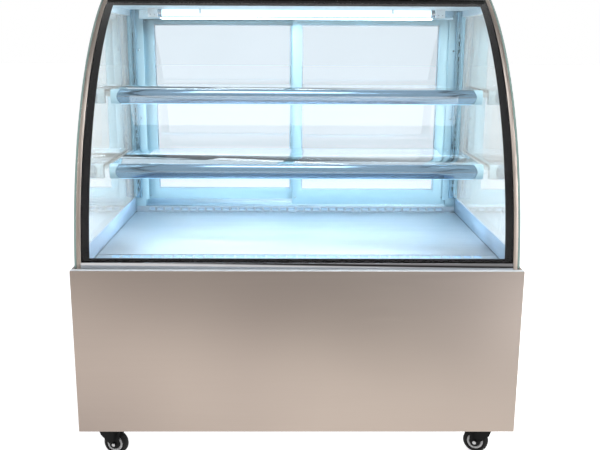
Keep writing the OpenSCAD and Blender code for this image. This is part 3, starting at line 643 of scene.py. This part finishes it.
def add_rail_strips(m, name, shelf):
    """What runs along a rail: the lit strip under it, the bead on its lens, the gasket behind its jaw."""
    half = high("shelf_light_rails").x
    y0, top = shelf["front"], shelf["top"]
    under = top - RAIL_H
    bm = bmesh.new()
    strip = [(y0 + 11 * MM, under - 0.05 * MM), (y0 + 12 * MM, under - 1.6 * MM),
             (y0 + 16.5 * MM, under - 2.4 * MM), (y0 + 21 * MM, under - 1.6 * MM),
             (y0 + 22 * MM, under - 0.05 * MM)]
    add_prism(bm, strip, -half + 30 * MM, half - 30 * MM)
    add_piece(f"{name}_rail_diffuser", mesh_of("diffuser", bm), m["diffuser"], CABINET,
              bevel=0.3 * MM)
    bm = bmesh.new()
    mid = top - 20 * MM
    bead = [(y0 - 0.05 * MM, mid + 0.8 * MM), (y0 - 0.75 * MM, mid + 0.45 * MM), (y0 - 0.95 * MM, mid),
            (y0 - 0.75 * MM, mid - 0.45 * MM), (y0 - 0.05 * MM, mid - 0.8 * MM)]
    add_prism(bm, bead, -half + 20 * MM, half - 20 * MM)
    add_piece(f"{name}_rail_bead", mesh_of("bead", bm), m["chrome"], CABINET)
    bm = bmesh.new()
    add_block(bm, (-half + 2 * MM, y0 + RAIL_D + 0.2 * MM, top + 0.05 * MM),
              (half - 2 * MM, y0 + RAIL_D + 2 * MM, top + 0.7 * MM))
    add_piece(f"{name}_rail_gasket", mesh_of("gasket", bm), m["pale_seal"], CABINET, bevel=0.2 * MM)


def add_shelf_pads(m, name, shelf):
    """Thin pads between the brackets and the glass."""
    bracket_x = high("shelf_brackets").x - 1.5 * MM
    pad_top, pad_foot = shelf["top"] - 8.02 * MM, shelf["top"] - 8.19 * MM
    bm = bmesh.new()
    for x in (-bracket_x, bracket_x):
        for y in (shelf["front"] + 60 * MM, high("shelf_glasses").y - 40 * MM):
            add_block(bm, (x - 1.4 * MM, y - 9 * MM, pad_foot), (x + 1.4 * MM, y + 9 * MM, pad_top))
    add_piece(f"{name}_shelf_pads", mesh_of("pads", bm), m["cap"], CABINET, smooth=False)


def add_screw_column(m, name, x, y, heights, radius, height):
    """Round screw heads on both sides of the cabinet, facing the front."""
    bm = bmesh.new()
    for s in (-1, 1):
        for z in heights:
            add_dome(bm, (s * x, y - 0.02 * MM, z), (0, -1, 0), radius, height)
    add_piece(name, mesh_of(name, bm), m["chrome"], CABINET)


def add_post_screws(m):
    """The screws of the pilasters and of the door frame's corner posts."""
    pilaster_x, jamb_x = high("shelf_pilasters").x - 7 * MM, high("rear_jambs").x - 56 * MM
    heights = (BASE_TOP + 62 * MM, BASE_TOP + 340 * MM, high("shelf_pilasters").z - 12 * MM)
    add_screw_column(m, "pilaster_screws", pilaster_x, low("shelf_pilasters").y, heights, 3.2 * MM, 1.6 * MM)
    heights = (BASE_TOP + 120 * MM, BASE_TOP + 330 * MM, BASE_TOP + 560 * MM)
    add_screw_column(m, "jamb_screws", jamb_x, low("rear_jambs").y, heights, 3.4 * MM, 1.5 * MM)


# ---------- light tube ----------

def add_tube_details(m):
    """The metal rings at the tube's ends and the screws of its sockets."""
    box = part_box("led_tube")
    y = (box[0].y + box[1].y) / 2
    z = (box[0].z + box[1].z) / 2
    radius = (box[1].y - box[0].y) / 2
    end = box[1].x - 8 * MM
    bm = bmesh.new()
    for s in (-1, 1):
        profile = [(radius + 0.05 * MM, 0), (radius + 0.55 * MM, 0.6 * MM), (radius + 0.55 * MM, 13 * MM),
                   (radius + 0.05 * MM, 13.6 * MM)]
        add_lathe(bm, profile, aim((s * (end - 14 * MM), y, z), (s, 0, 0)), 40)
    add_piece("tube_end_rings", mesh_of("tube_end_rings", bm), m["chrome"], CABINET)
    bm = bmesh.new()
    for s in (-1, 1):
        for dx in (9 * MM, 22 * MM):
            place = (s * (end + dx), low("led_holders").y - 0.02 * MM, z - 4.5 * MM)
            add_dome(bm, place, (0, -1, 0), 1.8 * MM, 0.8 * MM, 16)
    add_piece("tube_socket_screws", mesh_of("tube_socket_screws", bm), m["zinc"], CABINET)


# ---------- doors ----------

def add_frame_ring(bm, x0, x1, z0, z1, y0, y1, width):
    """A rectangular ring in the X-Z plane, drawn inward from its outer edge."""
    add_block(bm, (x0, y0, z0), (x0 + width, y1, z1))
    add_block(bm, (x1 - width, y0, z0), (x1, y1, z1))
    add_block(bm, (x0 + width, y0, z0), (x1 - width, y1, z0 + width))
    add_block(bm, (x0 + width, y0, z1 - width), (x1 - width, y1, z1))


def add_door_glazing(m, side):
    """The seals that hold a door's panes in its frame, and the spacer between the panes."""
    frame_lo, frame_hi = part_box(f"{side}_door_frame")
    glass_lo, glass_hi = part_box(f"{side}_door_glass")
    body = f"{side}_door"
    rebate = 7.65 * MM
    x0, x1 = glass_lo.x + rebate, glass_hi.x - rebate
    z0, z1 = glass_lo.z + rebate, glass_hi.z - rebate
    front_seal = (frame_lo.y + 0.6 * MM, glass_lo.y - 0.05 * MM)
    back_seal = (glass_hi.y + 0.05 * MM, frame_hi.y - 0.6 * MM)
    bm = bmesh.new()
    for y0, y1 in (front_seal, back_seal):
        add_frame_ring(bm, x0, x1, z0, z1, y0, y1, 2.2 * MM)
    add_piece(f"{side}_door_seals", mesh_of("seals", bm), m["pale_seal"], body, bevel=0.4 * MM)
    bm = bmesh.new()
    add_frame_ring(bm, x0, x1, z0, z1, glass_lo.y + 4.1 * MM, glass_hi.y - 4.1 * MM, 5 * MM)
    add_piece(f"{side}_door_spacer", mesh_of("spacer", bm), m["fins"], body, smooth=False)


def add_door_fittings(m, side):
    """The dark lining of a door's finger pull, and the screws at its corners."""
    lo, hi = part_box(f"{side}_door_frame")
    body = f"{side}_door"
    outer_x, inward = (lo.x, 1) if side == "left" else (hi.x, -1)
    gap, wall = 0.05 * MM, 0.9 * MM
    x0, x1 = sorted((outer_x + inward * 14 * MM, outer_x + inward * 34 * MM))
    z0, z1 = lo.z + 300 * MM, lo.z + 420 * MM
    floor = hi.y - 8 * MM
    bm = bmesh.new()
    add_frame_ring(bm, x0 + gap, x1 - gap, z0 + gap, z1 - gap, floor + gap, hi.y + 0.35 * MM, wall)
    add_block(bm, (x0 + wall, floor + gap, z0 + wall), (x1 - wall, floor + wall, z1 - wall))
    add_piece(f"{side}_finger_pull", mesh_of("pull", bm), m["black"], body, bevel=0.3 * MM)
    bm = bmesh.new()
    for x in (lo.x + 11 * MM, hi.x - 11 * MM):
        for z in (lo.z + 38 * MM, hi.z - 24 * MM):
            add_dome(bm, (x, lo.y + 0.02 * MM, z), (0, -1, 0), 2.6 * MM, 0.7 * MM, 16)
    add_piece(f"{side}_door_screws", mesh_of("door_screws", bm), m["zinc"], body)


# ---------- base ----------

def add_painted_top_highlight(m):
    """The pale strip shaped as a rolled lip along the front panel's top edge; its pale coat is a painted
    highlight of the panel's top face.
    """
    half = high("front_panel").x
    bm = bmesh.new()
    painted_top_highlight = [(FRONT + 0.8 * MM, BASE_TOP + 0.05 * MM), (FRONT + 0.9 * MM, BASE_TOP + 0.8 * MM),
           (FRONT + 1.8 * MM, BASE_TOP + 1.3 * MM), (FRONT + 16.5 * MM, BASE_TOP + 1.3 * MM),
           (FRONT + 17.4 * MM, BASE_TOP + 0.8 * MM), (FRONT + 17.5 * MM, BASE_TOP + 0.05 * MM)]
    add_prism(bm, painted_top_highlight, -half + 1 * MM, half - 1 * MM)
    add_piece("panel_top_painted_highlight", mesh_of("panel_top_painted_highlight", bm), m["painted_top_highlight"], CABINET, bevel=0.3 * MM)


def add_front_intake(m):
    """The honeycomb under the front air slots and the ribs across each slot."""
    y0, y1 = SLOT_FRONT - 2 * MM, SLOT_FRONT + 27 * MM
    z0, z1 = BASE_TOP - 12 * MM, BASE_TOP - 2.1 * MM
    reach = SLOT_ROW + 8 * MM
    cells, rows = 190, 5
    bm = bmesh.new()
    for i in range(cells + 1):
        x = -reach + 2 * reach * i / cells
        add_block(bm, (x - 0.3 * MM, y0, z0), (x + 0.3 * MM, y1, z1))
    for k in range(rows + 1):
        y = y0 + (y1 - y0) * k / rows
        add_block(bm, (-reach, y - 0.25 * MM, z0 + 0.2 * MM), (reach, y + 0.25 * MM, z1 - 0.2 * MM))
    add_piece("air_honeycomb", mesh_of("air_honeycomb", bm), m["slot"], CABINET,
              smooth=False)
    foot, head = BASE_TOP - 1.6 * MM, BASE_TOP + 0.7 * MM
    half, ribs = 10.9 * MM, 8
    bm = bmesh.new()
    for i in range(SLOTS):
        x = (i - (SLOTS - 1) / 2) * SLOT_PITCH
        for k in range(ribs):
            y = SLOT_FRONT + (0.6 + 2.85 * k) * MM
            add_block(bm, (x - half, y, foot), (x + half, y + 1.5 * MM, head))
    add_piece("slot_ribs", mesh_of("slot_ribs", bm), m["slot"], CABINET, smooth=False)


def add_deck_gap_shade(m):
    """A dark strip between the deck and the side ledges: painted shade standing in for the shadow in the gap
    between them.
    """
    inner, outer = high("deck_plate").x + 0.05 * MM, high("side_ledges").x - 3.45 * MM
    y0, y1 = low("air_grilles").y, high("deck_plate").y
    bm = bmesh.new()
    for s in (-1, 1):
        x0, x1 = sorted((s * inner, s * outer))
        add_block(bm, (x0, y0, BASE_TOP - 1.8 * MM), (x1, y1, BASE_TOP + 1.2 * MM))
    add_piece("deck_side_gap_shade", mesh_of("deck_side_gap_shade", bm), m["gap_shade"], CABINET,
              bevel=0.4 * MM)


def add_rear_outlet(m):
    """Small sloping slats, with ribs between, behind the slots of the rear air grille."""
    y0 = high("air_grilles").y + 0.3 * MM
    reach = SLOT_ROW + 1 * MM
    foot, head = BASE_TOP + 5.2 * MM, BASE_TOP + 17 * MM
    slats = 5
    bm = bmesh.new()
    for k in range(slats):
        z = BASE_TOP + (5.9 + 2.1 * k) * MM
        slat = [(y0, z), (y0 + 0.5 * MM, z), (y0 + 4.2 * MM, z + 2.2 * MM), (y0 + 3.7 * MM, z + 2.2 * MM)]
        add_prism(bm, slat, -reach, reach)
    for i in range(SLOTS + 1):
        x = (i - SLOTS / 2) * SLOT_PITCH
        add_block(bm, (x - 0.6 * MM, y0 - 0.1 * MM, foot), (x + 0.6 * MM, y0 + 4.4 * MM, head))
    add_piece("rear_outlet_slats", mesh_of("rear_outlet_slats", bm), m["honeycomb"], CABINET,
              smooth=False)


def add_louvre_blades(m):
    """A sloping blade behind each of the rear panel's slots, in two banks."""
    banks = ((-480 * MM, -130 * MM), (-90 * MM, 260 * MM))
    slots, pitch = 12, 20 * MM
    foot = low("rear_vent_panel").z + 40 * MM
    bm = bmesh.new()
    for x0, x1 in banks:
        for i in range(slots):
            z0 = foot + i * pitch
            blade = [(BACK - 1.6 * MM, z0 + 8 * MM), (BACK - 3.0 * MM, z0 + 8.6 * MM),
                     (BACK - 9.5 * MM, z0 + 1.0 * MM), (BACK - 9.5 * MM, z0 - 0.2 * MM),
                     (BACK - 8.6 * MM, z0 + 0.2 * MM), (BACK - 2.6 * MM, z0 + 7.4 * MM)]
            add_prism(bm, blade, x0 + 0.5 * MM, x1 - 0.5 * MM)
    add_piece("louvre_blades", mesh_of("louvre_blades", bm), m["cladding"], CABINET,
              smooth=False)


def add_condenser_details(m):
    """The thin fins between the condenser's coarse ones, and the return bends of its pipes."""
    lo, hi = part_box("condenser_coil")
    first_fin = lo.x + 14 * MM
    fins, fin_pitch, coarse = 100, 3 * MM, 4
    bm = bmesh.new()
    for i in range(fins):
        if i % coarse:
            x = first_fin + i * fin_pitch + 0.45 * MM
            add_block(bm, (x, lo.y + 1 * MM, lo.z + 1 * MM), (x + 0.35 * MM, hi.y - 1 * MM, hi.z - 1 * MM))
    add_piece("condenser_fins", mesh_of("condenser_fins", bm), m["fins"], CABINET, smooth=False)
    rows, row_pitch, first_row = 6, 34 * MM, lo.z + 24 * MM
    bm = bmesh.new()
    for y in (lo.y + 22 * MM, hi.y - 22 * MM):
        for i in range(rows - 1):
            sx, x = (-1, lo.x + 1 * MM) if i % 2 == 0 else (1, hi.x - 1 * MM)
            z = first_row + (i + 0.5) * row_pitch
            add_half_ring(bm, (x, y, z), sx, row_pitch / 2, 5 * MM)
    add_piece("condenser_bends", mesh_of("condenser_bends", bm), m["copper"], CABINET)


def add_compressor_seam(m):
    """The weld seam round the compressor's pot."""
    lo = low("compressor")
    pot_r = 76 * MM
    pot_centre = (lo.x + 88 * MM, lo.y + 96 * MM, lo.z + 65 * MM)
    bm = bmesh.new()
    profile = [(pot_r + 0.02 * MM, -2 * MM), (pot_r + 1.2 * MM, -1 * MM), (pot_r + 1.2 * MM, 1 * MM),
               (pot_r + 0.02 * MM, 2 * MM)]
    add_lathe(bm, profile, Matrix.Translation(pot_centre), 72)
    add_piece("compressor_seam", mesh_of("compressor_seam", bm), m["pot"], CABINET)


def add_half_ring(bm, centre, sx, bend, tube, steps=14, sides=16):
    """A U bend of pipe whose legs point back along X."""
    rings = []
    for i in range(steps + 1):
        a = -math.pi / 2 + math.pi * i / steps
        ring = []
        for k in range(sides):
            t = 2 * math.pi * k / sides
            r = bend + tube * math.cos(t)
            point = Vector((sx * r * math.cos(a), tube * math.sin(t), r * math.sin(a)))
            ring.append(bm.verts.new(Vector(centre) + point))
        rings.append(ring)
    for one, two in zip(rings, rings[1:]):
        for k in range(sides):
            j = (k + 1) % sides
            bm.faces.new((one[k], two[k], two[j], one[j]))
    bm.faces.new(rings[0])
    bm.faces.new(rings[-1])


# ---------- controls ----------

# The digits on show, and which of the seven bars each of them lights
DIGITS = "30"
BARS = {"3": "abgcd", "0": "abcdef"}


def digit_bars(w, h, stroke):
    """The bars of a digit of half width w and half height h, as corners x0, z0, x1, z1.

    It is read from behind the showcase, where X runs leftward.
    """
    return {
        "a": (-w, h - stroke, w, h),
        "b": (-w, 0, stroke - w, h),
        "c": (-w, -h, stroke - w, 0),
        "d": (-w, -h, w, stroke - h),
        "e": (w - stroke, -h, w, 0),
        "f": (w - stroke, 0, w, h),
        "g": (-w, -stroke / 2, w, stroke / 2),
    }


def add_display(m):
    """The thermostat's dark window, sunk into its bezel, and the lit digits on it."""
    lo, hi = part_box("thermostat")
    face = hi.y
    x0, x1 = lo.x + 5 * MM, lo.x + 43 * MM
    z0, z1 = lo.z + 8 * MM, hi.z - 7 * MM
    gap = 0.1 * MM
    bm = bmesh.new()
    add_block(bm, (x0 + gap, face - 0.95 * MM, z0 + gap), (x1 - gap, face - 0.3 * MM, z1 - gap))
    add_piece("display_window", mesh_of("display_window", bm), m["screen"], CABINET,
              bevel=0.1 * MM)
    bars = digit_bars(3.5 * MM, 6 * MM, 1.3 * MM)
    bm = bmesh.new()
    for k, digit in enumerate(DIGITS):
        cx, cz = x1 - (9 + 12 * k) * MM, (z0 + z1) / 2
        for bar in BARS[digit]:
            bx0, bz0, bx1, bz1 = bars[bar]
            add_block(bm, (cx + bx0, face - 0.29 * MM, cz + bz0), (cx + bx1, face - 0.15 * MM, cz + bz1))
    add_piece("display_digits", mesh_of("display_digits", bm), m["digits"], CABINET,
              smooth=False)


def add_inlet_pins(m):
    """Bright sleeves on the three pins of the mains inlet."""
    lo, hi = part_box("power_inlet")
    centre = (lo + hi) / 2
    root, tip = hi.y - 17.4 * MM, hi.y - 8.3 * MM
    half_w, half_h = 1.15 * MM, 2.15 * MM
    bm = bmesh.new()
    for dx, dz in ((-7, -2), (0, 2), (7, -2)):
        x, z = centre.x + dx * MM, centre.z + dz * MM
        add_block(bm, (x - half_w, root, z - half_h), (x + half_w, tip, z + half_h))
    add_piece("inlet_pins", mesh_of("inlet_pins", bm), m["chrome"], CABINET, bevel=0.3 * MM)


# ---------- casters ----------

def add_wheel_trims(m, caster):
    """A pale moulded ring and a dark domed cap on both faces of a wheel."""
    spin = JOINTS[f"{caster}_spin"]
    centre, axis = Vector(spin["pos_m"]), Vector(spin["axis"]).normalized()
    recess = 9 * MM
    ring = [(15.4 * MM, 0.05 * MM), (15.8 * MM, 1.9 * MM), (18.6 * MM, 2.9 * MM), (22.0 * MM, 2.2 * MM),
            (22.8 * MM, 0.05 * MM)]
    cap = [(9.2 * MM, 0.05 * MM), (9.2 * MM, 3.0 * MM), (12.5 * MM, 2.4 * MM), (15.2 * MM, 0.9 * MM),
           (15.3 * MM, 0.05 * MM)]
    for label, profile, mat in (("ring", ring, m["core"]), ("cap", cap, m["fork"])):
        bm = bmesh.new()
        for s in (-1, 1):
            add_lathe(bm, profile, aim(centre + axis * s * recess, axis * s), 56)
        add_piece(f"{caster}_wheel_{label}s", mesh_of(label, bm), mat, spin["child"])


def add_fork_trims(m, caster):
    """The ends of a fork's axle bolt, one hexagonal and one round, and the dust ring on its crown."""
    spin, swivel = JOINTS[f"{caster}_spin"], JOINTS[f"{caster}_swivel"]
    centre, axis = Vector(spin["pos_m"]), Vector(spin["axis"]).normalized()
    bolt_end = 20.5 * MM
    profile = [(BORE, 0.05 * MM), (5.2 * MM, 0.05 * MM), (5.2 * MM, 1.2 * MM), (4.4 * MM, 1.9 * MM),
               (BORE, 2.3 * MM)]
    bm = bmesh.new()
    for s, sides in ((-1, 6), (1, 32)):
        add_lathe(bm, profile, aim(centre + axis * s * bolt_end, axis * s), sides)
    add_piece(f"{caster}_axle_ends", mesh_of("axle", bm), m["chrome"], swivel["child"],
              bevel=0.25 * MM)
    pivot = Vector(swivel["pos_m"])
    seat = 82.65 * MM
    profile = [(21.6 * MM, 0), (23.4 * MM, 0), (23.4 * MM, 1.6 * MM), (22.6 * MM, 2.6 * MM),
               (21.6 * MM, 2.6 * MM)]
    bm = bmesh.new()
    add_lathe(bm, profile, Matrix.Translation((pivot.x, pivot.y, seat)), 56)
    add_piece(f"{caster}_dust_ring", mesh_of("dust", bm), m["caster_plate"], swivel["child"])


# ---------- CAD nodes ----------

def dress(mat, *nodes, bevel=0.0):
    """Gives CAD nodes their finished material and, where wanted, rounded edges."""
    for node in nodes:
        piece = NODES[node]
        for slot in piece.material_slots:
            slot.material = mat
        piece.data.shade_smooth()
        if bevel:
            weld = piece.modifiers.new("join_faces", "WELD")
            weld.merge_threshold = 0.005 * MM
            add_bevel(piece, bevel)


def dress_cad(m):
    """Every CAD node in its finish."""
    dress(m["cladding"], "front_panel", bevel=1.1 * MM)
    dress(m["cladding"], "rear_vent_panel", bevel=0.6 * MM)
    dress(m["side_cladding"], "side_panels", bevel=0.5 * MM)
    dress(m["roof"], "roof", bevel=0.7 * MM)
    dress(m["trim"], "edge_trims", bevel=0.5 * MM)
    dress(m["polished"], "glass_channels", bevel=1.0 * MM)
    dress(m["deck"], "deck_plate", "air_grilles", bevel=0.4 * MM)
    dress(m["pilaster"], "shelf_pilasters", bevel=0.4 * MM)
    dress(m["fittings"], "shelf_brackets", bevel=0.4 * MM)
    dress(m["anodised"], "rear_jambs", bevel=0.5 * MM)
    dress(m["track"], "door_tracks", bevel=0.5 * MM)
    dress(m["anodised"], "left_door_frame", "right_door_frame", bevel=0.8 * MM)
    dress(m["rail"], "shelf_light_rails", "shelf_light_lenses", bevel=0.4 * MM)
    dress(m["ledge"], "side_ledges", bevel=0.5 * MM)
    dress(m["liner"], "ceiling_liner", bevel=0.5 * MM)
    dress(m["galvanised"], "floor_pan", "control_panel", bevel=0.4 * MM)
    dress(m["powder"], "base_frame", "condenser_shroud", "fan_motors", bevel=0.6 * MM)
    dress(m["foam"], "deck_tub", bevel=1.5 * MM)
    dress(m["fins"], "condenser_coil", "evaporator_coil", "glass_spacers")
    dress(m["pot"], "compressor", bevel=1.0 * MM)
    dress(m["copper"], "refrigerant_pipes")
    dress(m["fan"], "condenser_fan", "left_cooling_fan", "right_cooling_fan", bevel=0.4 * MM)
    dress(m["white"], "drip_tray", "led_holders", bevel=0.8 * MM)
    dress(m["black"], "thermostat", "switch_housings", "power_inlet", bevel=0.4 * MM)
    dress(m["grey"], "set_button", "up_button", "down_button", bevel=0.3 * MM)
    dress(m["green_rocker"], "light_switch", bevel=0.4 * MM)
    dress(m["red_rocker"], "power_switch", bevel=0.4 * MM)
    dress(m["shelf_glass"], "shelf_glasses", bevel=0.8 * MM)
    dress(m["door_glass"], "left_door_glass", "right_door_glass")
    dress(m["tube"], "led_tube")
    dress(m["caster_plate"], "caster_plates", bevel=0.5 * MM)
    dress(m["zinc"], "screws", bevel=0.3 * MM)
    for caster in CASTERS:
        dress(m["fork"], f"{caster}_fork", bevel=0.5 * MM)
        dress(m["tread"], f"{caster}_wheel", bevel=0.8 * MM)
    dress(m["pedal"], "rear_left_brake", "rear_right_brake", bevel=0.8 * MM)


add_camera()
materials = make_materials()
add_world()
add_floor()
add_lights()
dress_cad(materials)
add_front_pane(materials)
add_side_panes(materials)
add_pane_edges(materials)
for shelf_name, shelf_place in SHELVES.items():
    add_rail_ends(materials, shelf_name, shelf_place)
    add_rail_strips(materials, shelf_name, shelf_place)
    add_shelf_pads(materials, shelf_name, shelf_place)
add_post_screws(materials)
add_tube_details(materials)
for door in ("left", "right"):
    add_door_glazing(materials, door)
    add_door_fittings(materials, door)
add_painted_top_highlight(materials)
add_front_intake(materials)
add_deck_gap_shade(materials)
add_rear_outlet(materials)
add_louvre_blades(materials)
add_condenser_details(materials)
add_compressor_seam(materials)
add_display(materials)
add_inlet_pins(materials)
for caster_name in CASTERS:
    add_wheel_trims(materials, caster_name)
    add_fork_trims(materials, caster_name)
